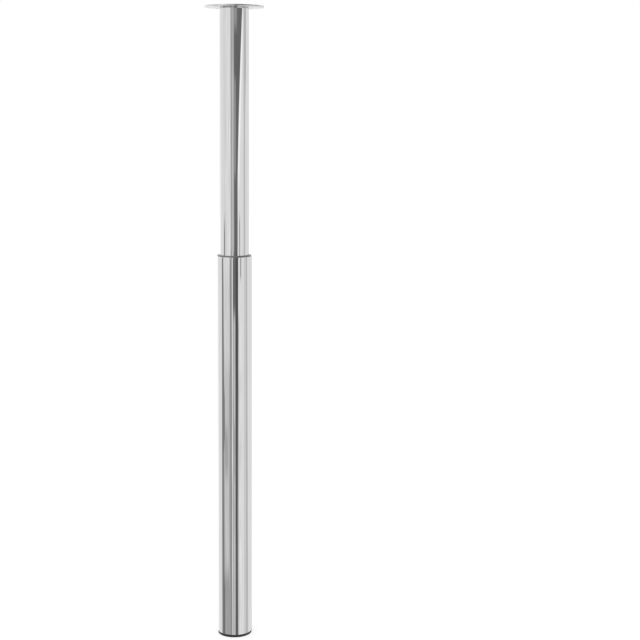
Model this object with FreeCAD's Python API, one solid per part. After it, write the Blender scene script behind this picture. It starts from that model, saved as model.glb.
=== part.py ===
import FreeCAD, Part
import math
import os

# Telescopic table leg, drawn right out, standing on its foot.
# Millimetres, +Z up, origin on the floor on the leg's axis.

# Lower tube
lower_d = 60.0
lower_wall = 1.2
lower_length = 674.0
tube_edge = 0.3             # break on the outer edges of both tubes

# Upper tube
tube_step = 10.0            # lower tube's diameter over the upper tube's
upper_wall = 1.2
upper_top_round = 0.9       # rolled edge where the tube meets the plate
overlap = 192.0             # stays in the lower tube, drawn right out
low_gap = 26.2              # bush to plate, pushed right in

# Top plate
plate_d = 100.0
plate_t = 3.0
plate_edge = 0.6            # break on both outer edges
plate_hole_count = 4
plate_hole_d = 5.5
plate_hole_edge = 11.0      # hole's middle to the plate's rim
countersink_d = 9.6
countersink_depth = 2.0
drain_inset = 6.0           # radius of the plate's open centre under the tube's
weld_leg = 2.2              # bead inside the tube, under the plate
weld_throat = 0.8           # hollow of the bead's face, from the corner

# Guide bush in the mouth of the lower tube
bush_flange_inset = 0.6     # flange radius under the tube's radius
bush_flange_t = 2.0
bush_flange_round = 0.8
bush_depth = 45.0
bush_wall = 1.6
bush_clear = 0.15           # radial running clearance on the upper tube
bush_land = 11.0            # bearing land at each end of the bore
bush_relief = 0.35          # bore is this much wider between the lands
bush_rib_count = 12
bush_rib_t = 1.8
bush_lead = 0.8             # lead-in at both ends of the bore

# Foot: rubber sole, swivel pad, ball-ended stud
sole_inset = 4.8            # sole radius under the pad's radius
sole_t = 1.6
sole_proud = 0.3            # rubber that stands out under the pad
sole_groove_w = 1.0
sole_groove_ds = (20.0, 37.0)    # middle diameters of the grip grooves
sole_groove_depth = 0.4
pad_inset = 0.2             # pad radius under the tube's radius
pad_t = 3.0
pad_round = 0.8
pad_gap = 0.2               # pad to plug, screwed right in
hub_d = 24.0
hub_height = 9.2
hub_edge = 0.8
ball_d = 11.0
ball_clear = 0.15
ball_lift = 5.0             # ball centre above the pad's upper face
stud_d = 10.0
stud_edge = 1.0
stud_room = 0.2             # radial, where the stud passes freely
stud_neck_d = 6.4
stud_hex_af = 13.0
stud_hex_height = 5.0
stud_hex_gap = 0.8          # hub to hexagon
foot_travel = 20.0          # how far the foot screws out

# Foot plug pressed into the bottom of the lower tube
plug_flange_t = 1.3
plug_flange_inset = 0.4     # flange radius under the tube's radius
plug_cover = 5.2            # plug's top over the stud's, room for the lock screw
plug_wall = 1.8
plug_edge = 0.6
plug_floor = 3.0
plug_barb = 0.25            # height of the holding rings
plug_barb_length = 1.5
plug_barb_count = 3
plug_rib_count = 8
plug_rib_t = 1.6
plug_rib_drop = 8.0         # ribs stop this far below the plug's top
boss_wall = 3.0             # round the nut's washer
boss_bore_d = 15.0          # clears the stud and the lock screw's head
recess_clear = 2.5          # radial room round the hub
recess_wall = 1.8
nut_af = 17.0
nut_height = 8.0
nut_gap = 0.5               # hexagon of the stud to the nut
nut_washer_d = 21.0
nut_washer_t = 2.0
shoulder_t = 3.0            # carries the washer
thread_clear = 0.05

# Lock unit at the lower end of the upper tube
end_gap = 0.4               # washer to foot plug, pushed right in
spigot_length = 38.0
spigot_wall = 2.8
spigot_edge = 1.0
spigot_rib_count = 6
spigot_rib_t = 2.0
spigot_core_d = 10.0
collar_inset = 0.1          # collar radius under the upper tube's radius
collar_top_t = 4.0
collar_low_t = 5.0
groove_depth = 2.9
groove_h = 8.4
journal_step = 7.9          # journal radius under the collar's radius
journal_h = 25.0
journal_wall = 2.6
journal_core_d = 9.0
lock_turn = 30.0            # degrees from free to locked
lock_play = 0.6             # radial play of the freed lock ring
lock_touch = 0.05           # gap left where the locked ring bears
ring_side_gap = 0.3         # axial gap at each end of the lock ring
ring_bore_clear = 0.15
ring_rim = 3.2
ring_hub_wall = 1.8
ring_pocket_count = 8
ring_pocket_rib_t = 2.2
ring_pocket_depth = 19.0
ring_grip_count = 5
ring_grip_w = 1.6
ring_grip_depth = 0.6

# Leaf that drags the lock ring on the tube
leaf_t = 0.4
leaf_width = 9.0
leaf_half_span = 8.5
leaf_seat_depth = 2.2       # flat on the ring, measured from its rim
leaf_seat_margin = 1.0
leaf_touch = 0.05

# Glide ring, a split ring of T section
glide_clear = 0.15
glide_height = 16.0
glide_web_gap = 0.2
glide_bore_clear = 0.3
glide_rim_gap = 0.7         # rim to the collars
glide_slit = 2.5
glide_web_root = 0.7        # web runs this far into the rim
glide_edge = 0.7

# Fasteners of the lock unit
washer_lip = 3.0            # washer radius over the journal's radius
washer_t = 2.0
screw_head_d = 9.0
screw_head_h = 3.0
screw_d = 4.8
screw_length = 20.0
screw_hole_length = 21.0
screw_head_edge = 0.9
screw_drive_d = 4.2
screw_drive_depth = 1.6
rivet_d = 4.0
rivet_head_d = 7.6
rivet_head_h = 1.1
rivet_head_edge = 0.6
rivet_depth = 5.0
rivet_height = 18.0         # above the upper tube's lower end

# Stop clip round the upper tube
clip_height = 12.0
clip_clear = 0.2            # to the lower tube's bore
clip_gap = 0.3              # to the bush, drawn right out
clip_slit = 9.0
clip_peg_d = 6.0
clip_peg_root = 1.2         # peg runs this far into the clip
clip_edge = 0.6

seat_clear = 0.03           # between pieces pressed together
hole_clear = 0.05           # radial, round rivets and pegs
cut_over = 1.0              # cutters run this far past a face
tiny = 1.0e-4

# Radii that several pieces share
lower_r = lower_d / 2
lower_bore_r = lower_r - lower_wall
upper_r = (lower_d - tube_step) / 2
upper_bore_r = upper_r - upper_wall
bush_bore_r = upper_r + bush_clear
collar_r = upper_r - collar_inset
groove_r = collar_r - groove_depth
journal_r = collar_r - journal_step
bush_flange_r = lower_r - bush_flange_inset
pad_r = lower_r - pad_inset
sole_r = pad_r - sole_inset
hub_r = hub_d / 2
plate_r = plate_d / 2

# Heights, from the floor up
pad_bottom = sole_proud
pad_top = pad_bottom + pad_t
plug_bottom = pad_top + pad_gap
lower_bottom = plug_bottom + plug_flange_t
lower_top = lower_bottom + lower_length
bush_bottom = lower_top - bush_depth
ball_z = pad_top + ball_lift
hub_top = pad_top + hub_height
stud_hex_bottom = hub_top + stud_hex_gap
stud_hex_top = stud_hex_bottom + stud_hex_height
nut_bottom = stud_hex_top + nut_gap
nut_top = nut_bottom + nut_height
nut_washer_top = nut_top + nut_washer_t
stud_top = nut_top + foot_travel
plug_top = stud_top + plug_cover
upper_bottom = lower_top - overlap
groove_top = upper_bottom - collar_top_t
groove_bottom = groove_top - groove_h
collar_low_bottom = groove_bottom - collar_low_t
journal_bottom = collar_low_bottom - journal_h
washer_bottom = journal_bottom - washer_t
travel = washer_bottom - end_gap - plug_top
plate_bottom = lower_top + bush_flange_t + low_gap + travel
plate_top = plate_bottom + plate_t
clip_top = bush_bottom - clip_gap
clip_bottom = clip_top - clip_height

# Eccentric of the twist lock: turning by lock_turn moves the ring off
# centre by the play, less the gap where it bears.
eccentricity = (lock_play - lock_touch) / (2 * math.sin(math.radians(lock_turn / 2)))
journal_x = eccentricity * math.cos(math.radians(lock_turn))
journal_y = -eccentricity * math.sin(math.radians(lock_turn))
lock_ring_r = lower_bore_r - lock_play
lock_ring_x = journal_x - eccentricity
lock_ring_y = journal_y


def disc(radius, bottom, top, x=0.0, y=0.0):
    """Upright cylinder between two heights."""
    return Part.makeCylinder(radius, top - bottom, FreeCAD.Vector(x, y, bottom))


def ring(inner, outer, bottom, top, x=0.0, y=0.0):
    """Upright ring between two heights."""
    return disc(outer, bottom, top, x, y).cut(disc(inner, bottom, top, x, y))


def hexagon(across_flats, bottom, top):
    """Hexagonal prism on the leg's axis."""
    corner = across_flats / math.sqrt(3)
    points = []
    for step in range(7):
        angle = math.radians(60 * step)
        points.append(FreeCAD.Vector(corner * math.cos(angle), corner * math.sin(angle), bottom))
    face = Part.Face(Part.makePolygon(points))
    return face.extrude(FreeCAD.Vector(0, 0, top - bottom))


def turned(points):
    """Solid of revolution round the leg's axis from (radius, height) corners."""
    corners = [FreeCAD.Vector(radius, 0, height) for radius, height in points]
    face = Part.Face(Part.makePolygon(corners + corners[:1]))
    return face.revolve(FreeCAD.Vector(0, 0, 0), FreeCAD.Vector(0, 0, 1), 360)


def spokes(count, thickness, inner, outer, bottom, top, x=0.0, y=0.0):
    """Radial ribs, evenly spaced, as one list."""
    ribs = []
    for index in range(count):
        rib = Part.makeBox(outer - inner, thickness, top - bottom,
                           FreeCAD.Vector(inner, -thickness / 2, bottom))
        rib.rotate(FreeCAD.Vector(0, 0, 0), FreeCAD.Vector(0, 0, 1), 360.0 * index / count)
        rib.translate(FreeCAD.Vector(x, y, 0))
        ribs.append(rib)
    return ribs


def radial_pin(radius, inner, outer, height, angle):
    """Cylinder that points away from the axis at one height."""
    pin = Part.makeCylinder(radius, outer - inner, FreeCAD.Vector(inner, 0, height),
                            FreeCAD.Vector(1, 0, 0))
    pin.rotate(FreeCAD.Vector(0, 0, 0), FreeCAD.Vector(0, 0, 1), angle)
    return pin


def slit(width, reach, bottom, top, angle):
    """Radial slot that splits a ring on one side."""
    cutter = Part.makeBox(reach, width, top - bottom, FreeCAD.Vector(0, -width / 2, bottom))
    cutter.rotate(FreeCAD.Vector(0, 0, 0), FreeCAD.Vector(0, 0, 1), angle)
    return cutter


def rims(shape, radius, height):
    """Round edges of one radius at one height."""
    found = []
    for edge in shape.Edges:
        curve = edge.Curve
        if not isinstance(curve, Part.Circle):
            continue
        if abs(curve.Radius - radius) < tiny and abs(curve.Center.z - height) < tiny:
            found.append(edge)
    return found


def one_solid(shape):
    """The shape with its seams removed, as a single solid."""
    clean = shape.removeSplitter()
    if len(clean.Solids) == 1:
        return clean.Solids[0]
    return clean


def make_lower_tube():
    tube = ring(lower_bore_r, lower_r, lower_bottom, lower_top)
    outer = rims(tube, lower_r, lower_bottom) + rims(tube, lower_r, lower_top)
    return tube.makeChamfer(tube_edge, outer)


def make_guide_bush():
    """Flanged bush with two bearing lands and ribs that grip the tube."""
    flange_top = lower_top + bush_flange_t
    sleeve_r = bush_bore_r + bush_wall
    grip_r = lower_bore_r - seat_clear
    flange = disc(bush_flange_r, lower_top, flange_top)
    flange = flange.makeFillet(bush_flange_round, rims(flange, bush_flange_r, flange_top))
    sleeve = disc(sleeve_r, bush_bottom, lower_top)
    ribs = spokes(bush_rib_count, bush_rib_t, bush_bore_r, lower_r, bush_bottom, lower_top)
    grip = disc(grip_r, bush_bottom, lower_top)
    grip = grip.makeChamfer(bush_lead, rims(grip, grip_r, bush_bottom))
    body = flange.fuse([sleeve] + [rib.common(grip) for rib in ribs])
    bore = turned([
        (0, bush_bottom - tiny),
        (bush_bore_r + bush_lead, bush_bottom - tiny),
        (bush_bore_r, bush_bottom + bush_lead),
        (bush_bore_r, bush_bottom + bush_land),
        (bush_bore_r + bush_relief, bush_bottom + bush_land + bush_relief),
        (bush_bore_r + bush_relief, flange_top - bush_land - bush_relief),
        (bush_bore_r, flange_top - bush_land),
        (bush_bore_r, flange_top - bush_lead),
        (bush_bore_r + bush_lead, flange_top + tiny),
        (0, flange_top + tiny),
    ])
    return one_solid(body.cut(bore))


def make_foot_plug():
    """Moulded insert: shell with holding rings, ribs, boss and nut pocket."""
    shell_r = lower_bore_r - seat_clear - plug_barb
    flange_r = lower_r - plug_flange_inset
    pocket_r = nut_washer_d / 2 + seat_clear
    shoulder_top = nut_washer_top + shoulder_t
    recess_r = hub_r + recess_clear
    boss_r = nut_washer_d / 2 + boss_wall
    shell = ring(shell_r - plug_wall, shell_r, lower_bottom, plug_top)
    shell = shell.makeChamfer(plug_edge, rims(shell, shell_r, plug_top))
    pieces = [disc(flange_r, plug_bottom, lower_bottom)]
    pieces.append(disc(shell_r, lower_bottom, lower_bottom + plug_floor))
    barb_step = (plug_top - lower_bottom) / (plug_barb_count + 1)
    for index in range(plug_barb_count):
        low = lower_bottom + barb_step * (index + 1)
        high = low + plug_barb_length
        pieces.append(turned([(shell_r - plug_wall / 2, low), (shell_r + plug_barb, low),
                              (shell_r, high), (shell_r - plug_wall / 2, high)]))
    pieces.append(disc(recess_r + recess_wall, lower_bottom, nut_bottom + recess_wall))
    pieces.append(disc(boss_r, nut_bottom, plug_top))
    pieces += spokes(plug_rib_count, plug_rib_t, boss_bore_d / 2 + tiny, shell_r - plug_wall / 2,
                     lower_bottom, plug_top - plug_rib_drop)
    body = shell.fuse(pieces)
    body = body.cut(disc(recess_r, plug_bottom, nut_bottom))
    body = body.cut(hexagon(nut_af + 2 * seat_clear, nut_bottom, nut_top))
    body = body.cut(disc(pocket_r, nut_top, nut_washer_top))
    body = body.cut(disc(stud_d / 2 + stud_room, nut_washer_top, shoulder_top))
    body = body.cut(disc(boss_bore_d / 2, shoulder_top, plug_top))
    return one_solid(body)


def make_foot_nut():
    nut = hexagon(nut_af, nut_bottom, nut_top)
    corner_r = nut_af / math.sqrt(3)
    crown = disc(corner_r, nut_bottom, nut_top)
    crown_ends = rims(crown, corner_r, nut_bottom) + rims(crown, corner_r, nut_top)
    nut = nut.common(crown.makeChamfer(corner_r - nut_af / 2, crown_ends))
    return one_solid(nut.cut(disc(stud_d / 2 + thread_clear, nut_bottom, nut_top)))


def make_nut_washer():
    return ring(stud_d / 2 + stud_room, nut_washer_d / 2, nut_top, nut_washer_top)


def make_foot_pad():
    """Round pad with a hub that holds the stud's ball."""
    pad = disc(pad_r, pad_bottom, pad_top)
    pad = pad.makeFillet(pad_round, rims(pad, pad_r, pad_bottom))
    hub = disc(hub_r, pad_top, hub_top)
    hub = hub.makeChamfer(hub_edge, rims(hub, hub_r, hub_top))
    body = pad.fuse(hub)
    body = body.cut(disc(sole_r + seat_clear, 0, sole_t))
    socket = Part.makeSphere(ball_d / 2 + ball_clear, FreeCAD.Vector(0, 0, ball_z))
    mouth_r = stud_neck_d / 2 + 2 * ball_clear
    mouth = disc(mouth_r, ball_z, hub_top)
    return one_solid(body.cut(socket.fuse(mouth)))


def make_foot_sole():
    """Rubber disc let into the pad, with two round grip grooves."""
    sole = disc(sole_r, 0, sole_t)
    for groove_middle_d in sole_groove_ds:
        inner = (groove_middle_d - sole_groove_w) / 2
        sole = sole.cut(ring(inner, inner + sole_groove_w, 0, sole_groove_depth))
    return sole.Solids[0]


def make_foot_stud():
    """Ball, neck, hexagon and threaded shank in one turned piece."""
    ball = Part.makeSphere(ball_d / 2, FreeCAD.Vector(0, 0, ball_z))
    neck = disc(stud_neck_d / 2, ball_z, stud_hex_bottom)
    flats = hexagon(stud_hex_af, stud_hex_bottom, stud_hex_top)
    shank = disc(stud_d / 2, stud_hex_top, stud_top)
    shank = shank.makeChamfer(stud_edge, rims(shank, stud_d / 2, stud_top))
    return one_solid(ball.fuse([neck, flats, shank]))


def clip_pegs(radius, inner, outer):
    """Two pegs on opposite sides of the upper tube."""
    middle = (clip_top + clip_bottom) / 2
    return [radial_pin(radius, inner, outer, middle, angle) for angle in (0, 180)]


def rivet_shanks(radius, inner, outer):
    """Two rivet shanks on opposite sides of the lock plug."""
    height = upper_bottom + rivet_height
    return [radial_pin(radius, inner, outer, height, angle) for angle in (90, 270)]


def make_upper_tube():
    tube = ring(upper_bore_r, upper_r, upper_bottom, plate_bottom)
    tube = tube.makeFillet(upper_top_round, rims(tube, upper_r, plate_bottom))
    tube = tube.makeChamfer(tube_edge, rims(tube, upper_r, upper_bottom))
    holes = clip_pegs(clip_peg_d / 2 + hole_clear, upper_bore_r - cut_over, upper_r + cut_over)
    holes += rivet_shanks(rivet_d / 2 + hole_clear, upper_bore_r - cut_over, upper_r + cut_over)
    return one_solid(tube.cut(holes))


def make_mounting_plate():
    """Round plate with holes countersunk from below and an open centre."""
    plate = disc(plate_r, plate_bottom, plate_top)
    edges = rims(plate, plate_r, plate_bottom) + rims(plate, plate_r, plate_top)
    plate = plate.makeChamfer(plate_edge, edges)
    plate = plate.cut(disc(upper_r - drain_inset, plate_bottom, plate_top))
    hole_circle_r = plate_r - plate_hole_edge
    holes = []
    for index in range(plate_hole_count):
        angle = math.radians(360.0 * (index + 0.5) / plate_hole_count)
        x = hole_circle_r * math.cos(angle)
        y = hole_circle_r * math.sin(angle)
        holes.append(disc(plate_hole_d / 2, plate_bottom, plate_top, x, y))
        holes.append(Part.makeCone(countersink_d / 2, plate_hole_d / 2, countersink_depth,
                                   FreeCAD.Vector(x, y, plate_bottom)))
    return one_solid(plate.cut(holes))


def make_plate_weld():
    """Fillet bead round the inside of the tube's top."""
    return turned([
        (upper_bore_r, plate_bottom),
        (upper_bore_r, plate_bottom - weld_leg),
        (upper_bore_r - weld_throat, plate_bottom - weld_throat),
        (upper_bore_r - weld_leg, plate_bottom),
    ])


def make_stop_clip():
    """Split collar that meets the bush when the leg is drawn right out."""
    outer_r = lower_bore_r - clip_clear
    inner_r = upper_r + seat_clear
    clip = disc(outer_r, clip_bottom, clip_top)
    edges = rims(clip, outer_r, clip_bottom) + rims(clip, outer_r, clip_top)
    clip = clip.makeChamfer(clip_edge, edges).cut(disc(inner_r, clip_bottom, clip_top))
    clip = clip.cut(slit(clip_slit, lower_r, clip_bottom, clip_top, 90))
    return one_solid(clip.fuse(clip_pegs(clip_peg_d / 2, upper_bore_r, upper_r + clip_peg_root)))


def make_lock_plug():
    """Moulded plug: cored spigot, grooved collar and eccentric journal."""
    spigot_r = upper_bore_r - seat_clear
    spigot_top = upper_bottom + spigot_length
    spigot = disc(spigot_r, upper_bottom, spigot_top)
    spigot = spigot.makeChamfer(spigot_edge, rims(spigot, spigot_r, spigot_top))
    core = ring(spigot_core_d / 2, spigot_r - spigot_wall, upper_bottom, spigot_top)
    core = core.cut(spokes(spigot_rib_count, spigot_rib_t, 0, spigot_r, upper_bottom, spigot_top))
    collar = disc(collar_r, groove_top, upper_bottom)
    collar = collar.fuse([
        disc(groove_r, groove_bottom, groove_top),
        disc(collar_r, collar_low_bottom, groove_bottom),
    ])
    journal = disc(journal_r, journal_bottom, collar_low_bottom, journal_x, journal_y)
    pockets = ring(journal_core_d / 2, journal_r - journal_wall, journal_bottom, collar_low_bottom,
                   journal_x, journal_y)
    pockets = pockets.cut(spokes(spigot_rib_count, spigot_rib_t, 0, journal_r,
                                 journal_bottom, collar_low_bottom, journal_x, journal_y))
    screw_hole = disc(screw_d / 2 + seat_clear, journal_bottom, journal_bottom + screw_hole_length,
                      journal_x, journal_y)
    body = spigot.cut(core).fuse([collar, journal.cut(pockets)])
    rivet_holes = rivet_shanks(rivet_d / 2 + hole_clear, spigot_r - spigot_wall - cut_over, upper_r)
    body = body.cut([screw_hole] + rivet_holes)
    return one_solid(body)


def make_plug_rivets():
    """Two domed rivets that hold the lock plug in the upper tube."""
    height = upper_bottom + rivet_height
    rivets = []
    for shank, angle in zip(rivet_shanks(rivet_d / 2, upper_r - rivet_depth, upper_r), (90, 270)):
        head = radial_pin(rivet_head_d / 2, upper_bore_r, upper_r + rivet_head_h, height, angle)
        end = [edge for edge in head.Edges
               if isinstance(edge.Curve, Part.Circle) and abs(edge.Curve.Center.y) > upper_r]
        head = head.makeChamfer(rivet_head_edge, end)
        head = head.cut(disc(upper_r, height - rivet_head_d, height + rivet_head_d))
        rivets.append(one_solid(shank.fuse(head)))
    return Part.makeCompound(rivets)


def make_lock_ring():
    """Eccentric ring with pockets, grip grooves and a seat for the leaf."""
    bottom = journal_bottom + ring_side_gap
    top = collar_low_bottom - ring_side_gap
    bore_r = journal_r + ring_bore_clear
    middle = (bottom + top) / 2
    body = disc(lock_ring_r, bottom, top, lock_ring_x, lock_ring_y)
    body = body.cut(disc(bore_r, bottom, top, journal_x, journal_y))
    pocket_inner = bore_r + eccentricity + ring_hub_wall
    pocket_top = bottom + ring_pocket_depth
    pockets = ring(pocket_inner, lock_ring_r - ring_rim, bottom, pocket_top, lock_ring_x, lock_ring_y)
    pockets = pockets.cut(spokes(ring_pocket_count, ring_pocket_rib_t, 0, lock_ring_r,
                                 bottom, pocket_top, lock_ring_x, lock_ring_y))
    body = body.cut(pockets)
    grip_step = (top - bottom) / (ring_grip_count + 1)
    for index in range(ring_grip_count):
        low = bottom + grip_step * (index + 1) - ring_grip_w / 2
        body = body.cut(ring(lock_ring_r - ring_grip_depth, lower_r, low, low + ring_grip_w,
                             lock_ring_x, lock_ring_y))
    seat_half = leaf_half_span + leaf_seat_margin
    seat_x = lock_ring_x + lock_ring_r - leaf_seat_depth
    seat_h = leaf_width + 2 * leaf_seat_margin
    seat = Part.makeBox(lower_r, 2 * seat_half, seat_h,
                        FreeCAD.Vector(seat_x, lock_ring_y - seat_half, middle - seat_h / 2))
    return one_solid(body.cut(seat))


def arched_strip(base_x, apex_x, half_span, thickness, bottom, top, centre_y):
    """Thin strip bent to an arc in plan."""
    outer = Part.Arc(FreeCAD.Vector(base_x, centre_y - half_span, bottom),
                     FreeCAD.Vector(apex_x, centre_y, bottom),
                     FreeCAD.Vector(base_x, centre_y + half_span, bottom))
    inner = Part.Arc(FreeCAD.Vector(base_x - thickness, centre_y + half_span, bottom),
                     FreeCAD.Vector(apex_x - thickness, centre_y, bottom),
                     FreeCAD.Vector(base_x - thickness, centre_y - half_span, bottom))
    first_end = Part.LineSegment(outer.EndPoint, inner.StartPoint)
    second_end = Part.LineSegment(inner.EndPoint, outer.StartPoint)
    edges = [outer.toShape(), first_end.toShape(), inner.toShape(), second_end.toShape()]
    return Part.Face(Part.Wire(edges)).extrude(FreeCAD.Vector(0, 0, top - bottom))


def make_drag_spring():
    """Leaf on the lock ring, bowed out to the lower tube's bore."""
    middle = (journal_bottom + collar_low_bottom) / 2
    seat_x = lock_ring_x + lock_ring_r - leaf_seat_depth
    apex_x = lock_ring_x + lower_bore_r - leaf_touch
    return arched_strip(seat_x + leaf_t + seat_clear, apex_x, leaf_half_span, leaf_t,
                        middle - leaf_width / 2, middle + leaf_width / 2, lock_ring_y)


def make_lock_washer():
    return ring(screw_d / 2 + hole_clear, journal_r + washer_lip, washer_bottom, journal_bottom,
                journal_x, journal_y)


def make_lock_screw():
    """Pan-head screw up the middle of the eccentric journal."""
    head = disc(screw_head_d / 2, washer_bottom - screw_head_h, washer_bottom, journal_x, journal_y)
    head_low = rims(head, screw_head_d / 2, washer_bottom - screw_head_h)
    head = head.makeChamfer(screw_head_edge, head_low)
    shank = disc(screw_d / 2, washer_bottom, journal_bottom + screw_length, journal_x, journal_y)
    drive = hexagon(screw_drive_d, washer_bottom - screw_head_h,
                    washer_bottom - screw_head_h + screw_drive_depth)
    drive.translate(FreeCAD.Vector(journal_x, journal_y, 0))
    return one_solid(head.fuse(shank).cut(drive))


def make_glide_ring():
    """Split ring of T section; its web runs in the plug's groove."""
    outer_r = lower_bore_r - glide_clear
    rim_inner = collar_r + glide_rim_gap
    web_inner = groove_r + glide_bore_clear
    middle = (groove_bottom + groove_top) / 2
    rim_low = middle - glide_height / 2
    rim_high = middle + glide_height / 2
    rim = disc(outer_r, rim_low, rim_high)
    rim = rim.makeChamfer(glide_edge, rims(rim, outer_r, rim_low) + rims(rim, outer_r, rim_high))
    rim = rim.cut(disc(rim_inner, rim_low, rim_high))
    web = ring(web_inner, rim_inner + glide_web_root,
               groove_bottom + glide_web_gap, groove_top - glide_web_gap)
    return one_solid(rim.fuse(web).cut(slit(glide_slit, lower_r, rim_low, rim_high, 45)))


pieces = {
    "lower_tube": make_lower_tube,
    "guide_bush": make_guide_bush,
    "foot_plug": make_foot_plug,
    "foot_nut": make_foot_nut,
    "nut_washer": make_nut_washer,
    "foot_pad": make_foot_pad,
    "foot_sole": make_foot_sole,
    "foot_stud": make_foot_stud,
    "upper_tube": make_upper_tube,
    "mounting_plate": make_mounting_plate,
    "plate_weld": make_plate_weld,
    "stop_clip": make_stop_clip,
    "lock_plug": make_lock_plug,
    "plug_rivets": make_plug_rivets,
    "lock_ring": make_lock_ring,
    "drag_spring": make_drag_spring,
    "lock_washer": make_lock_washer,
    "lock_screw": make_lock_screw,
    "glide_ring": make_glide_ring,
}

os.makedirs("parts", exist_ok=True)
for node, make in pieces.items():
    make().exportStep("parts/" + node + ".step")
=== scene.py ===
"""Telescopic chromed table leg: looks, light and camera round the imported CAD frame."""

import math

import bmesh
import bpy
from mathutils import Matrix, Vector


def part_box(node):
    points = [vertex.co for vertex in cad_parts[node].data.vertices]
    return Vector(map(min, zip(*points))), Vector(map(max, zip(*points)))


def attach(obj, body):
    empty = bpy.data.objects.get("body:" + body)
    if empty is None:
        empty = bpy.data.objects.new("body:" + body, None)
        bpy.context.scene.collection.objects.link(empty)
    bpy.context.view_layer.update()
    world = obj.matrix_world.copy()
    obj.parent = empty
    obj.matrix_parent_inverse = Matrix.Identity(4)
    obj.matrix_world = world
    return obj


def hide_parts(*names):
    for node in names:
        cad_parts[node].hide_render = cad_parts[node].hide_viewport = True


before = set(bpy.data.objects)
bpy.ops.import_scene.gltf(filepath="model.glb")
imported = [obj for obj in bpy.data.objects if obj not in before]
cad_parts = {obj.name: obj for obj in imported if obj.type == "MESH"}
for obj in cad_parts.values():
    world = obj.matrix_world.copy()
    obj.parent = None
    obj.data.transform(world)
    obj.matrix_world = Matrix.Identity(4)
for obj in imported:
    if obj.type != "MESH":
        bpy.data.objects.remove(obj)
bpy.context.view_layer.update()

MM = 0.001
MICRON = 0.001 * MM
FINE = 384                  # segments round the large turned pieces
MEDIUM = 192                # segments round the stud
TOOL_SEGMENTS = 64          # segments round the tools that cut holes
SHARP = math.radians(32)    # edges above this angle stay crisp
CLOSE = MICRON              # points nearer than this are joined after a cut
TINY = 0.1 * MICRON         # shorter edges are left out


# Sizes
def span(node):
    """Outer radius, bottom and top of a node."""
    low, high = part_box(node)
    return (high.x - low.x) / 2, low.z, high.z


def middle_height(node):
    """Height of the middle of a node."""
    low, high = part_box(node)
    return (low.z + high.z) / 2


lower_r, lower_bottom, lower_top = span("lower_tube")
upper_r, upper_bottom, upper_top = span("upper_tube")
plate_r, plate_bottom, plate_top = span("mounting_plate")
pad_r, pad_bottom, hub_top = span("foot_pad")
sole_r, sole_bottom, sole_top = span("foot_sole")
stud_low, stud_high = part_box("foot_stud")
plug_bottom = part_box("foot_plug")[0].z
peg_z = middle_height("stop_clip")
rivet_z = middle_height("plug_rivets")


# Mesh helpers
def link(name, data):
    """Puts new data into the scene as an object."""
    thing = bpy.data.objects.new(name, data)
    bpy.context.scene.collection.objects.link(thing)
    return thing


def as_mesh(grid, name):
    """Mesh made of a finished grid of points and faces."""
    mesh = bpy.data.meshes.new(name)
    grid.to_mesh(mesh)
    grid.free()
    return mesh


def arc(centre_r, centre_z, radius, start, end, steps):
    """Points of a rounded corner in a turned profile, angles in degrees."""
    points = []
    for step in range(steps + 1):
        angle = math.radians(start + (end - start) * step / steps)
        points.append((centre_r + radius * math.cos(angle), centre_z + radius * math.sin(angle)))
    return points


def round_axis(radius, height, index, segments):
    """Point on a circle round the leg's axis."""
    angle = 2 * math.pi * index / segments
    return radius * math.cos(angle), radius * math.sin(angle), height


def turned(name, profile, segments):
    """Mesh turned from (radius, height) points. A profile that starts off the axis is a ring."""
    grid = bmesh.new()
    rows = []
    for radius, height in profile:
        places = [round_axis(radius, height, index, segments) for index in range(segments)]
        if radius == 0:
            places = [(0, 0, height)]
        rows.append([grid.verts.new(place) for place in places])
    pairs = list(zip(rows, rows[1:]))
    if profile[0][0] > 0:
        pairs.append((rows[-1], rows[0]))
    for one, two in pairs:
        for index in range(segments):
            after = (index + 1) % segments
            if len(one) == 1:
                grid.faces.new((one[0], two[after], two[index]))
            elif len(two) == 1:
                grid.faces.new((one[index], one[after], two[0]))
            else:
                grid.faces.new((one[index], one[after], two[after], two[index]))
    bmesh.ops.recalc_face_normals(grid, faces=grid.faces)
    return as_mesh(grid, name)


def cone(name, start_r, end_r, start, end):
    """Closed cone between two points."""
    start, end = Vector(start), Vector(end)
    grid = bmesh.new()
    bmesh.ops.create_cone(grid, cap_ends=True, segments=TOOL_SEGMENTS, radius1=start_r,
                          radius2=end_r, depth=(end - start).length)
    turn = (end - start).to_track_quat("Z", "Y").to_matrix().to_4x4()
    bmesh.ops.transform(grid, matrix=Matrix.Translation((start + end) / 2) @ turn,
                        verts=grid.verts)
    return as_mesh(grid, name)


def cylinder(name, radius, start, end):
    """Closed cylinder between two points."""
    return cone(name, radius, radius, start, end)


def combine(mesh, others, operation):
    """The mesh with the others taken out of it, fused to it or kept in common."""
    body = link("combine_body", mesh)
    tools = []
    for index, other in enumerate(others):
        tool = link(f"combine_tool_{index}", other)
        tools.append(tool)
        step = body.modifiers.new(f"step_{index}", "BOOLEAN")
        step.operation = operation
        step.solver = "EXACT"
        step.object = tool
    graph = bpy.context.evaluated_depsgraph_get()
    made = bpy.data.meshes.new_from_object(body.evaluated_get(graph))
    for thing in [body] + tools:
        bpy.data.objects.remove(thing)
    grid = bmesh.new()
    grid.from_mesh(made)
    bmesh.ops.remove_doubles(grid, verts=grid.verts, dist=CLOSE)
    bmesh.ops.dissolve_degenerate(grid, edges=grid.edges, dist=TINY)
    grid.to_mesh(made)
    grid.free()
    return made


def place(name, mesh, body, slot, material, *nodes):
    """Adds a smooth piece that rides on a body and stands for CAD nodes."""
    mesh.shade_smooth()
    mesh.set_sharp_from_angle(angle=SHARP)
    mesh.materials.clear()
    mesh.materials.append(material)
    piece = link(name, mesh)
    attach(piece, body)
    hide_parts(*nodes)


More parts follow.
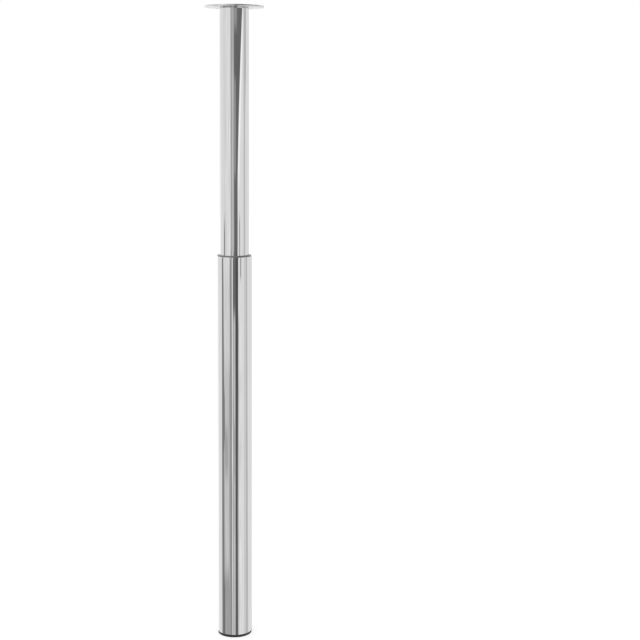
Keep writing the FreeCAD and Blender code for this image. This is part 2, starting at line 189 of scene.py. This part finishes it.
# Node graphs
class Graph:
    """Node tree, with a call for each kind of node that is used often."""

    def __init__(self, tree):
        self.tree = tree

    def node(self, kind, inputs=None, **settings):
        """New node, each input set to a number or colour or linked to another node's output."""
        node = self.tree.nodes.new("ShaderNode" + kind)
        for name, value in settings.items():
            setattr(node, name, value)
        for name, value in (inputs or {}).items():
            if isinstance(value, bpy.types.NodeSocket):
                self.tree.links.new(value, node.inputs[name])
            else:
                node.inputs[name].default_value = value
        return node

    def math(self, operation, *values):
        """Result of one operation on numbers or outputs."""
        return self.node("Math", dict(enumerate(values)), operation=operation).outputs["Value"]

    def linear(self, value, slope, offset):
        """Value times the slope, plus the offset."""
        return self.math("ADD", self.math("MULTIPLY", value, slope), offset)

    def at_least(self, value, limit):
        """The larger of two."""
        return self.math("MAXIMUM", value, limit)

    def at_most(self, value, limit):
        """The smaller of two."""
        return self.math("MINIMUM", value, limit)

    def soft(self, value, low, high, to_low=0.0, to_high=1.0):
        """Value from one range mapped to another, with soft ends."""
        inputs = {"Value": value, "From Min": low, "From Max": high, "To Min": to_low,
                  "To Max": to_high}
        return self.node("MapRange", inputs, interpolation_type="SMOOTHSTEP").outputs["Result"]

    def mix(self, factor, one, two, kind="FLOAT"):
        """Between two numbers or colours, by the factor."""
        inputs = {"Factor": factor, "A": one, "B": two}
        return self.node("Mix", inputs, data_type=kind).outputs["Result"]

    def noise(self, vector, scale, detail, rough):
        """Cloudy noise between 0 and 1."""
        inputs = {"Vector": vector, "Scale": scale, "Detail": detail, "Roughness": rough}
        return self.node("TexNoise", inputs).outputs["Fac"]


# Materials
NOISE_ROUGH = 0.55
NOISE_RANGE = (0.3, 0.7)    # where most of a noise lies
SUM_RANGE = (0.7, 1.35)     # where most of the sum of haze and grain lies
CLOUD_DETAIL = 4
HAZE_SCALE = 38
HAZE_LEVEL = 0.965          # share of the tint that the haze leaves
GRAIN_SCALE = 900
GRAIN_DETAIL = 2
GRAIN_HEIGHT = 1.2 * MICRON
WAVE_DETAIL = 1.5
PIGMENT_SCALE = 60
TONE_SCALE = 90
EVEN = (1, 1, 1)            # no stretch


class Finish(Graph):
    """Procedural material on a plain surface, laid out in object coordinates."""

    def __init__(self, name, metallic):
        self.material = bpy.data.materials.new(name)
        self.material.use_nodes = True
        super().__init__(self.material.node_tree)
        self.surface = self.tree.nodes["Principled BSDF"]
        self.surface.inputs["Metallic"].default_value = metallic
        self.where = self.node("TexCoord").outputs["Object"]

    def stretched(self, stretch):
        """Object coordinates stretched along the axes."""
        return self.node("Mapping", {"Vector": self.where, "Scale": stretch}).outputs["Vector"]

    def clouds(self, stretch, scale, detail):
        """Noise in stretched object coordinates."""
        return self.noise(self.stretched(stretch), scale, detail, NOISE_ROUGH)

    def apply(self, output, socket):
        """Links an output to a socket of the surface."""
        self.tree.links.new(output, self.surface.inputs[socket])

    def colour(self, noise, one, two):
        """Base colour between two, by a noise."""
        factor = self.soft(noise, *NOISE_RANGE)
        self.apply(self.mix(factor, (*one, 1), (*two, 1), "RGBA"), "Base Color")

    def roughness(self, noise, limits, noise_range=NOISE_RANGE):
        """Roughness between two limits, by a noise."""
        self.apply(self.soft(noise, *noise_range, *limits), "Roughness")

    def bump(self, height, distance, under=None):
        """Normal of a fine relief, laid over another where one is given."""
        inputs = {"Height": height, "Distance": distance}
        if under is not None:
            inputs["Normal"] = under
        return self.node("Bump", inputs).outputs["Normal"]


def grey(level):
    """Neutral colour."""
    return level, level, level


def chrome(name, tint, rough, wave, height):
    """Mirror plate: faint haze, a fine grain and slow waves in the steel under it."""
    finish = Finish(name, metallic=1.0)
    haze = finish.clouds((1, 1, 0.35), HAZE_SCALE, CLOUD_DETAIL)
    grain = finish.clouds((1, 1, 0.2), GRAIN_SCALE, GRAIN_DETAIL)
    waves = finish.clouds((1, 1, 0.12), wave, WAVE_DETAIL)
    finish.colour(haze, [HAZE_LEVEL * value for value in tint], tint)
    finish.roughness(finish.math("ADD", haze, grain), rough, SUM_RANGE)
    finish.apply(finish.bump(grain, GRAIN_HEIGHT, finish.bump(waves, height)), "Normal")
    return finish.material


def moulded(name, dark, light, rough, grain, height):
    """Moulded plastic: fine spark-eroded grain and slightly cloudy pigment."""
    finish = Finish(name, metallic=0.0)
    cloud = finish.clouds(EVEN, PIGMENT_SCALE, CLOUD_DETAIL)
    finish.colour(cloud, dark, light)
    finish.roughness(cloud, rough)
    inputs = {"Vector": finish.stretched(EVEN), "Scale": grain}
    cells = finish.node("TexVoronoi", inputs).outputs["Distance"]
    finish.apply(finish.bump(cells, height), "Normal")
    return finish.material


def steel(name, one, two, rough, grain, height, stretch=EVEN):
    """Bare or plated metal with a fine grain, which a stretch draws out."""
    finish = Finish(name, metallic=1.0)
    tone = finish.clouds(EVEN, TONE_SCALE, CLOUD_DETAIL)
    lines = finish.clouds(stretch, grain, CLOUD_DETAIL)
    finish.colour(tone, one, two)
    finish.roughness(lines, rough)
    finish.apply(finish.bump(lines, height), "Normal")
    return finish.material


lower_chrome = chrome("polished_chrome_lower", grey(0.7), rough=(0.015, 0.04),
                      wave=26, height=20 * MICRON)
upper_chrome = chrome("polished_chrome_upper", grey(0.7), rough=(0.015, 0.04),
                      wave=28, height=20 * MICRON)
plate_chrome = chrome("satin_chrome_plate", grey(0.69), rough=(0.22, 0.28),
                      wave=40, height=10 * MICRON)
bush_plastic = moulded("grey_moulded_bush", grey(0.14), grey(0.17), rough=(0.13, 0.22),
                       grain=2600, height=1 * MICRON)
plug_plastic = moulded("black_moulded_plug", grey(0.012), grey(0.018), rough=(0.45, 0.58),
                       grain=2600, height=10 * MICRON)
foot_plastic = moulded("black_moulded_foot", grey(0.012), grey(0.019), rough=(0.42, 0.55),
                       grain=2400, height=12 * MICRON)
rubber = moulded("matt_rubber", grey(0.011), (0.02, 0.02, 0.019), rough=(0.75, 0.88),
                 grain=1500, height=30 * MICRON)
nylon = moulded("natural_nylon", (0.78, 0.76, 0.69), (0.83, 0.81, 0.75), rough=(0.36, 0.48),
                grain=1700, height=8 * MICRON)
lock_plastic = moulded("dark_lock_plastic", (0.105, 0.105, 0.115), (0.13, 0.13, 0.14),
                       rough=(0.42, 0.55), grain=2200, height=10 * MICRON)
zinc = steel("bright_zinc", (0.6, 0.61, 0.63), (0.66, 0.66, 0.65), rough=(0.2, 0.38),
             grain=420, height=4 * MICRON)
weld = steel("plated_weld", (0.38, 0.37, 0.36), (0.5, 0.49, 0.47), rough=(0.25, 0.5),
             grain=260, height=200 * MICRON, stretch=(1, 1, 0.4))
aluminium = steel("plain_aluminium", (0.7, 0.7, 0.71), (0.75, 0.75, 0.76), rough=(0.3, 0.45),
                  grain=500, height=6 * MICRON)
spring_steel = steel("bright_strip_steel", (0.47, 0.47, 0.49), (0.54, 0.54, 0.56),
                     rough=(0.22, 0.34), grain=900, height=3 * MICRON, stretch=(1, 0.05, 1))

node_materials = {
    "lower_tube": lower_chrome,
    "guide_bush": bush_plastic,
    "foot_plug": plug_plastic,
    "foot_nut": zinc,
    "nut_washer": zinc,
    "foot_pad": foot_plastic,
    "foot_sole": rubber,
    "foot_stud": zinc,
    "upper_tube": upper_chrome,
    "mounting_plate": plate_chrome,
    "plate_weld": weld,
    "stop_clip": nylon,
    "lock_plug": nylon,
    "plug_rivets": aluminium,
    "lock_ring": lock_plastic,
    "drag_spring": spring_steel,
    "lock_washer": zinc,
    "lock_screw": zinc,
    "glide_ring": nylon,
}
for node, material in node_materials.items():
    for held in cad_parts[node].material_slots:
        held.link = "OBJECT"
        held.material = material


# Lower tube
WALL = 1.2 * MM
EDGE = 0.3 * MM


def tube_profile(radius, bottom, top, top_round, rings):
    """Wall of a tube with broken outer edges and extra rings along it."""
    inner = radius - WALL
    points = [(inner, bottom), (radius - EDGE, bottom)]
    points += arc(radius - EDGE, bottom + EDGE, EDGE, -90, 0, 5)[1:]
    points += [(radius, bottom + 2 * EDGE)]
    points += [(radius, height) for height in rings]
    points += [(radius, top - 2 * top_round)]
    points += arc(radius - top_round, top - top_round, top_round, 0, 90, 8)
    points += [(inner, top)]
    return points


lower_profile = tube_profile(lower_r, lower_bottom, lower_top, EDGE, [])
place("chromed_lower_tube", turned("lower_tube_fine", lower_profile, FINE),
      "lower_leg", "lower_chrome", lower_chrome, "lower_tube")


# Upper tube
TOP_ROUND = 0.9 * MM
PEG_HOLE_R = 3.05 * MM
RIVET_HOLE_R = 2.05 * MM
CUT_FROM = 3.0 * MM         # how far inside the outer face a hole's tool starts
CUT_TO = 2.0 * MM           # how far outside it the tool ends

ring_z = peg_z + 3 * PEG_HOLE_R     # parts the long bare wall from the one with the holes
upper_profile = tube_profile(upper_r, upper_bottom, upper_top, TOP_ROUND, [ring_z])
upper_mesh = turned("upper_tube_fine", upper_profile, FINE)
wall_tools = []
for sign in (1, -1):
    core = sign * (upper_r - CUT_FROM)
    reach = sign * (upper_r + CUT_TO)
    wall_tools.append(cylinder("peg_hole", PEG_HOLE_R, (core, 0, peg_z), (reach, 0, peg_z)))
    wall_tools.append(cylinder("rivet_hole", RIVET_HOLE_R, (0, core, rivet_z),
                               (0, reach, rivet_z)))
place("chromed_upper_tube", combine(upper_mesh, wall_tools, "DIFFERENCE"),
      "upper_leg", "upper_chrome", upper_chrome, "upper_tube")


# Top plate
PLATE_EDGE = 0.6 * MM
OPEN_CENTRE_INSET = 6.0 * MM        # the open centre's radius under the tube's
HOLES = 4
FIRST_HOLE = 45                     # degrees from +X
HOLE_R = 2.75 * MM
HOLE_TO_RIM = 11.0 * MM
SINK_R = 4.8 * MM
SINK_DEPTH = 2.0 * MM
HOLE_BREAK = 0.25 * MM
CUT_OVER = 1.0 * MM

opening_r = upper_r - OPEN_CENTRE_INSET
plate_profile = [(opening_r, plate_bottom + HOLE_BREAK), (opening_r + HOLE_BREAK, plate_bottom)]
plate_profile += arc(plate_r - PLATE_EDGE, plate_bottom + PLATE_EDGE, PLATE_EDGE, -90, 0, 6)
plate_profile += arc(plate_r - PLATE_EDGE, plate_top - PLATE_EDGE, PLATE_EDGE, 0, 90, 6)
plate_profile += [(opening_r + HOLE_BREAK, plate_top), (opening_r, plate_top - HOLE_BREAK)]
sink_mouth_r = SINK_R + CUT_OVER * (SINK_R - HOLE_R) / SINK_DEPTH
break_mouth_r = HOLE_R + HOLE_BREAK + CUT_OVER
plate_tools = []
for index in range(HOLES):
    angle = math.radians(FIRST_HOLE + index * 360 / HOLES)
    x = (plate_r - HOLE_TO_RIM) * math.cos(angle)
    y = (plate_r - HOLE_TO_RIM) * math.sin(angle)
    under = (x, y, plate_bottom - CUT_OVER)
    over = (x, y, plate_top + CUT_OVER)
    sink_end = (x, y, plate_bottom + SINK_DEPTH)
    break_start = (x, y, plate_top - HOLE_BREAK)
    plate_tools.append(cylinder("screw_hole", HOLE_R, under, over))
    plate_tools.append(cone("screw_sink", sink_mouth_r, HOLE_R, under, sink_end))
    plate_tools.append(cone("screw_break", HOLE_R, break_mouth_r, break_start, over))
plate_mesh = combine(turned("mounting_plate_fine", plate_profile, FINE), plate_tools, "DIFFERENCE")
place("satin_mounting_plate", plate_mesh, "upper_leg", "plate_chrome", plate_chrome,
      "mounting_plate")


# Foot
PAD_GAP = 0.2 * MM          # pad to plug
PAD_ROUND = 0.8 * MM
PAD_BREAK = 0.25 * MM
HUB_R = 12.0 * MM
HUB_EDGE = 0.8 * MM
HUB_ROOT = 0.3 * MM
SOLE_CLEAR = 0.03 * MM
BALL_R = 5.5 * MM
BALL_CLEAR = 0.15 * MM
GROOVE_MIDDLES = (10.0 * MM, 18.5 * MM)
GROOVE_HALF = 0.5 * MM
GROOVE_DEPTH = 0.4 * MM
SOLE_BREAK = 0.15 * MM

pad_top = plug_bottom - PAD_GAP
ball_z = stud_low.z + BALL_R


def pad_profile():
    """Pad with a rounded lower edge, a hub and the ball's socket."""
    recess_r = sole_r + SOLE_CLEAR
    socket_r = BALL_R + BALL_CLEAR
    open_angle = math.degrees(math.asin((hub_top - ball_z) / socket_r))
    points = [(0, sole_top), (recess_r, sole_top), (recess_r, pad_bottom)]
    points += arc(pad_r - PAD_ROUND, pad_bottom + PAD_ROUND, PAD_ROUND, -90, 0, 8)
    points += arc(pad_r - PAD_BREAK, pad_top - PAD_BREAK, PAD_BREAK, 0, 90, 3)
    points += arc(HUB_R + HUB_ROOT, pad_top + HUB_ROOT, HUB_ROOT, -90, -180, 4)
    points += arc(HUB_R - HUB_EDGE, hub_top - HUB_EDGE, HUB_EDGE, 0, 90, 5)
    points += arc(0, ball_z, socket_r, open_angle, -90, 16)[:-1]
    points += [(0, ball_z - socket_r)]
    return points


def sole_profile():
    """Rubber disc with two grip grooves in its underside, their edges broken."""
    points = [(0, sole_bottom)]
    for middle in GROOVE_MIDDLES:
        inside, outside = middle - GROOVE_HALF, middle + GROOVE_HALF
        points += [(inside - SOLE_BREAK, sole_bottom), (inside, sole_bottom + SOLE_BREAK)]
        points += [(inside, sole_bottom + GROOVE_DEPTH), (outside, sole_bottom + GROOVE_DEPTH)]
        points += [(outside, sole_bottom + SOLE_BREAK), (outside + SOLE_BREAK, sole_bottom)]
    points += arc(sole_r - SOLE_BREAK, sole_bottom + SOLE_BREAK, SOLE_BREAK, -90, 0, 3)
    points += [(sole_r, sole_top), (0, sole_top)]
    return points


place("moulded_foot_pad", turned("foot_pad_fine", pad_profile(), FINE),
      "foot", "foot_plastic", foot_plastic, "foot_pad")
place("rubber_sole", turned("foot_sole_fine", sole_profile(), FINE),
      "foot", "sole_rubber", rubber, "foot_sole")


# Levelling stud
NECK_R = 3.2 * MM
HEX_SIDES = 6
HEX_GAP = 0.8 * MM          # hub to hexagon
HEX_HEIGHT = 5.0 * MM
HEX_HALF_FLATS = 6.5 * MM
HEX_BREAK = 0.45 * MM
THREAD_R = 5.0 * MM
THREAD_ROOT_R = 4.1 * MM
THREAD_PITCH = 1.5 * MM
THREAD_SEGMENTS = 72
# Points of one turn of the thread: share of the pitch, share of the depth.
THREAD_FORM = ((0.0, 0.0), (0.1, 0.0), (0.3, 0.5), (0.5, 1.0), (0.7, 1.0), (0.9, 0.5))


def threaded(name, bottom, top):
    """Rod with a helical V thread that runs out at both ends."""
    turn_rows = len(THREAD_FORM)
    rows = turn_rows * (int((top - bottom) / THREAD_PITCH) + 3)
    grid = bmesh.new()
    points = []
    for row in range(rows + turn_rows):
        turn, part = divmod(row, turn_rows)
        along, depth = THREAD_FORM[part]
        base = bottom + (turn - 1 + along) * THREAD_PITCH
        full_r = THREAD_R - depth * (THREAD_R - THREAD_ROOT_R)
        line = []
        for index in range(THREAD_SEGMENTS):
            height = min(max(base + THREAD_PITCH * index / THREAD_SEGMENTS, bottom), top)
            taper_r = THREAD_ROOT_R + min(height - bottom, top - height)
            point = round_axis(min(full_r, taper_r), height, index, THREAD_SEGMENTS)
            line.append(grid.verts.new(point))
        points.append(line)
    for row in range(rows - 1):
        for index in range(THREAD_SEGMENTS):
            after = (index + 1) % THREAD_SEGMENTS
            next_row = row if after else row + turn_rows
            grid.faces.new((points[row][index], points[next_row][after],
                            points[next_row + 1][after], points[row + 1][index]))
    bmesh.ops.remove_doubles(grid, verts=grid.verts, dist=TINY)
    bmesh.ops.dissolve_degenerate(grid, edges=grid.edges, dist=TINY)
    loose = [vert for vert in grid.verts if not vert.link_faces]
    bmesh.ops.delete(grid, geom=loose, context="VERTS")
    bmesh.ops.holes_fill(grid, edges=[edge for edge in grid.edges if edge.is_boundary])
    bmesh.ops.recalc_face_normals(grid, faces=grid.faces)
    return as_mesh(grid, name)


hex_low = hub_top + HEX_GAP
hex_high = hex_low + HEX_HEIGHT
hex_middle = hex_low + HEX_HEIGHT / 2
hex_corner_r = HEX_HALF_FLATS / math.cos(math.pi / HEX_SIDES)
face_r = HEX_HALF_FLATS - HEX_BREAK / 2
neck_angle = math.degrees(math.acos(NECK_R / BALL_R))
flats_profile = [(0, hex_low), (hex_corner_r, hex_low), (hex_corner_r, hex_high), (0, hex_high)]
crown_profile = [(0, hex_low), (face_r, hex_low), (hex_corner_r, hex_low + HEX_BREAK),
                 (hex_corner_r, hex_high - HEX_BREAK), (face_r, hex_high), (0, hex_high)]
ball_profile = [(0, stud_low.z)] + arc(0, ball_z, BALL_R, -90, neck_angle, 24)[1:]
ball_profile += [(NECK_R, hex_middle), (0, hex_middle)]
hexagon = combine(turned("stud_flats", flats_profile, HEX_SIDES),
                  [turned("stud_crown", crown_profile, MEDIUM)], "INTERSECT")
stud_mesh = combine(hexagon, [turned("stud_ball", ball_profile, MEDIUM),
                              threaded("stud_thread", hex_high - HEX_BREAK, stud_high.z)], "UNION")
place("threaded_levelling_stud", stud_mesh, "stud", "zinc_steel", zinc, "foot_stud")


# Floor
FLOOR_MATT = 0.5
FLOOR_GLOW = 0.6
FLOOR_HALF = 9.0


def floor_material():
    """White floor that keeps a soft shadow, meets the background and is clear from below."""
    material = bpy.data.materials.new("studio_floor")
    material.use_nodes = True
    material.node_tree.nodes.clear()
    graph = Graph(material.node_tree)
    seen = graph.node("LightPath").outputs["Is Camera Ray"]
    matt = graph.node("BsdfDiffuse", {"Color": (*grey(FLOOR_MATT), 1)})
    glow = graph.node("Emission", {"Strength": graph.math("MULTIPLY", seen, FLOOR_GLOW)})
    above = graph.node("AddShader", {0: matt.outputs["BSDF"], 1: glow.outputs["Emission"]})
    below = graph.node("BsdfTransparent")
    sided = graph.node("MixShader", {0: graph.node("NewGeometry").outputs["Backfacing"],
                                     1: above.outputs["Shader"], 2: below.outputs["BSDF"]})
    graph.node("OutputMaterial", {"Surface": sided.outputs["Shader"]})
    return material


floor_grid = bmesh.new()
bmesh.ops.create_grid(floor_grid, x_segments=2, y_segments=2, size=FLOOR_HALF)
floor = link("studio_floor", as_mesh(floor_grid, "studio_floor"))
floor.data.materials.append(floor_material())
floor.visible_glossy = False


# World
class Sky(Graph):
    """Levels of the world's light by direction."""

    def __init__(self):
        self.world = bpy.data.worlds.new("studio")
        bpy.context.scene.world = self.world
        self.world.use_nodes = True
        self.world.node_tree.nodes.clear()
        super().__init__(self.world.node_tree)
        direction = self.node("TexCoord").outputs["Generated"]
        x, y, z = self.node("SeparateXYZ", {"Vector": direction}).outputs
        turn = self.math("ARCTAN2", x, self.math("MULTIPLY", y, -1.0))
        self.azimuth = self.math("MULTIPLY", turn, 180 / math.pi)
        self.elevation = self.math("MULTIPLY", self.math("ARCSINE", z), 180 / math.pi)

    def step(self, value, limit, edge):
        """0 below a limit and 1 above it, with a soft edge; the limit may be an output."""
        if isinstance(limit, bpy.types.NodeSocket):
            return self.soft(self.math("SUBTRACT", value, limit), -edge, edge)
        return self.soft(value, limit - edge, limit + edge)

    def window(self, value, start, end, edge):
        """1 between two limits and 0 outside them."""
        rise = self.step(value, start, edge)
        return self.math("MULTIPLY", rise, self.math("SUBTRACT", 1.0, self.step(value, end, edge)))

    def banded(self, bands):
        """White surroundings with upright bands of (from, to, edge softness, level), by
        azimuth, and for a short band also (lowest, highest, edge softness), by elevation."""
        level = 1.0
        for start, end, edge, shade, *heights in bands:
            inside = self.window(self.azimuth, start, end, edge)
            if heights:
                inside = self.math("MULTIPLY", inside, self.window(self.elevation, *heights))
            level = self.mix(inside, level, shade)
        return level


# Azimuth is 0 towards -Y, in front of the leg, and 90 towards +X. Elevation is 0 level.
# From the camera the upper tube mirrors what stands above JOINT_LEVEL, the lower tube the rest.
JOINT_LEVEL = -6.2
JOINT_EDGE = 0.3
DIFFUSE_LEVEL = 0.85
sky = Sky()

# The upper tube's dark band opens to the right as it climbs, beside a bright one.
climb = sky.at_least(sky.math("ADD", sky.elevation, 3.5), 0.0)
opening = sky.math("ADD", sky.math("MULTIPLY", climb, sky.linear(climb, 0.48, 2.28)), 26.5)
beyond = sky.at_most(sky.math("ADD", opening, 15.0), 70.0)
upper_bands = [
    # The left edge and the greys left of the middle
    (-94, -64, 4, 0.93),
    (-30.5, -23.5, 1, 0.72),
    (-23.5, -15.5, 1, 0.46),
    (-15.5, -7.5, 1, 0.73),
    (-15.5, -7.5, 1, 0.59, 1.4, 12, 0.8),
    (-7.5, 0, 1, 0.53),
    # The dark band with two paler stretches, and the bright band beside it
    (-0.5, opening, 1.2, 0.18),
    (-0.5, 23, 2, 0.4, 2.9, 12, 0.4),
    (-0.5, 14, 2, 0.37, -3, 0.9, 0.3),
    (opening, beyond, 1.2, 1.24, -3.2, 12, 0.6),
    # The greys at the right
    (74, 84, 3, 0.86),
    (84, 107, 3, 0.63),
    (95, 112, 3, 0.96, -12, 0.5, 1.2),
    # Two marks just above the joint
    (-90, -78, 2, 0.3, -12, -4.9, 0.6),
    (38, 47, 2, 0.5, -12, -4.7, 0.4),
]

# The lower tube has a wall at the left that darkens downwards, with a dark line along its
# edge, a dark band in the middle that narrows, and a grey one at the right that widens.
fall = sky.at_most(sky.math("SUBTRACT", JOINT_LEVEL, sky.elevation), 15.0)
wall = sky.linear(fall, -0.04, 0.98)
line_start = sky.at_least(sky.linear(fall, -0.4, -90.5), -96.0)
line_wide = sky.at_least(sky.linear(fall, 0.8, -79.0), sky.linear(fall, 6.0, -105.0))
line_narrow = sky.at_least(sky.linear(fall, -12.0, 19.8), -78.0)
line_end = sky.at_most(sky.at_most(line_wide, -69.0), line_narrow)
dark_end = sky.at_least(sky.at_most(sky.linear(fall, -0.55, 26.9), 25.0), 20.9)
grey_end = sky.linear(fall, 0.72, 93.0)
lower_bands = [
    # The wall and the shades on it
    (-84, -31, 4, wall),
    (-70, -31, 3, 0.78, -19.2, -15.2, 0.8),
    (-72, -46, 3, 0.54, -15.1, -13.4, 0.5),
    (-84, -31, 4, 0.48, -40, -19.6, 0.7),
    (-39, -31, 2, 0.56, -19.6, -11, 0.7),
    # The dark line and its darker foot
    (line_start, line_end, 2, 0.27),
    (-81, -70, 3, 0.23, -40, -19.4, 0.6),
    # The greys left of the dark band
    (-31, -24, 1.5, 0.38),
    (-24, -17.5, 1.5, 0.34),
    (-9.8, -4, 1.5, 0.46),
    (-11.5, -9.8, 1, 0.55, -40, -12, 0.5),
    (-4, 2, 1.5, 0.76),
    (-4, 2, 1.5, 0.5, -15.4, -13.2, 0.5),
    (2, 8.5, 1.5, 0.45),
    (-9.8, 8.5, 1.5, 0.19, -8.7, 0, 0.5),
    # The dark band and its paler edge
    (8, dark_end, 1.2, 0.1),
    (dark_end, 29.5, 1.5, 0.66, -40, -8.7, 0.5),
    # A mark just under the joint, and the greys at the right
    (38, 46, 2, 0.42, -7.2, 0, 0.2),
    (66, 82, 4, 0.83),
    (82, grey_end, 3, 0.65),
]

# Beside and behind the leg both tubes mirror the same.
other_bands = [
    (122, 146, 5, 0.95),
    (158, 169, 3, 0.35),
    (-160, -139, 3, 1.35),
    (-172, -163, 2, 0.5),
]
high = sky.banded(upper_bands + other_bands)
low = sky.banded(lower_bands + other_bands)
mirrored = sky.mix(sky.step(sky.elevation, JOINT_LEVEL, JOINT_EDGE), low, high)

# Soft patches, as of folds in a studio's cloth, that the tubes draw out into long streaks.
FOLD_WIDTH = 3.0
FOLD_HEIGHT = 2.2
FOLD_DEPTH = 0.9
FOLD_WINDOW = (-80, 50, 6)  # from, to, edge softness
across = sky.math("DIVIDE", sky.azimuth, FOLD_WIDTH)
along = sky.math("DIVIDE", sky.elevation, FOLD_HEIGHT)
spot = sky.node("CombineXYZ", {"X": across, "Y": along}).outputs["Vector"]
folds = sky.linear(sky.noise(spot, 1.0, 2.0, 0.5), FOLD_DEPTH, 1.0 - FOLD_DEPTH / 2)
folds = sky.mix(sky.window(sky.azimuth, *FOLD_WINDOW), 1.0, folds)
mirrored = sky.math("MULTIPLY", mirrored, folds)

# Mirrors show the bands, matt things get an even light, and the backdrop is white.
path = sky.node("LightPath").outputs
backdrop = sky.at_least(path["Is Camera Ray"], path["Is Transmission Ray"])
level = sky.mix(path["Is Glossy Ray"], DIFFUSE_LEVEL, mirrored)
level = sky.mix(backdrop, level, 1.0)
background = sky.node("Background", {"Color": level})
sky.node("OutputWorld", {"Surface": background.outputs["Background"]})
sky.world.cycles.sampling_method = "NONE"


# Lamp
LAMP_POWER = 0.5
LAMP_SPREAD = math.radians(60)
LAMP_TURN = (math.radians(38), math.radians(-22), 0)

lamp_data = bpy.data.lights.new("soft_key", "SUN")
lamp_data.energy = LAMP_POWER
lamp_data.angle = LAMP_SPREAD
lamp = link("soft_key", lamp_data)
lamp.rotation_euler = LAMP_TURN
lamp.visible_glossy = False


# Camera
# Placed so that the leg's outline falls where it does in the photograph.
CAMERA_AWAY = 2.4
CAMERA_HEIGHT = 0.9423
PITCH = math.radians(8.884)
YAW = math.radians(3.548)
ROLL = math.radians(0.455)
FOCAL_PIXELS = 1396.9
PICTURE_PIXELS = 640
SENSOR_WIDTH = 36           # millimetres, as the lens

camera_data = bpy.data.cameras.new("camera")
camera_data.sensor_width = SENSOR_WIDTH
camera_data.lens = FOCAL_PIXELS * SENSOR_WIDTH / PICTURE_PIXELS
camera = link("camera", camera_data)
ahead = Vector((math.sin(YAW) * math.cos(PITCH), math.cos(YAW) * math.cos(PITCH),
                -math.sin(PITCH)))
side = Vector((math.cos(YAW), -math.sin(YAW), 0))
above = side.cross(ahead)
right = side * math.cos(ROLL) + above * math.sin(ROLL)
up = above * math.cos(ROLL) - side * math.sin(ROLL)
turn = Matrix((right, up, -ahead)).transposed()
camera.matrix_world = Matrix.Translation((0, -CAMERA_AWAY, CAMERA_HEIGHT)) @ turn.to_4x4()
bpy.context.scene.camera = camera

bpy.context.scene.view_settings.view_transform = "Standard"
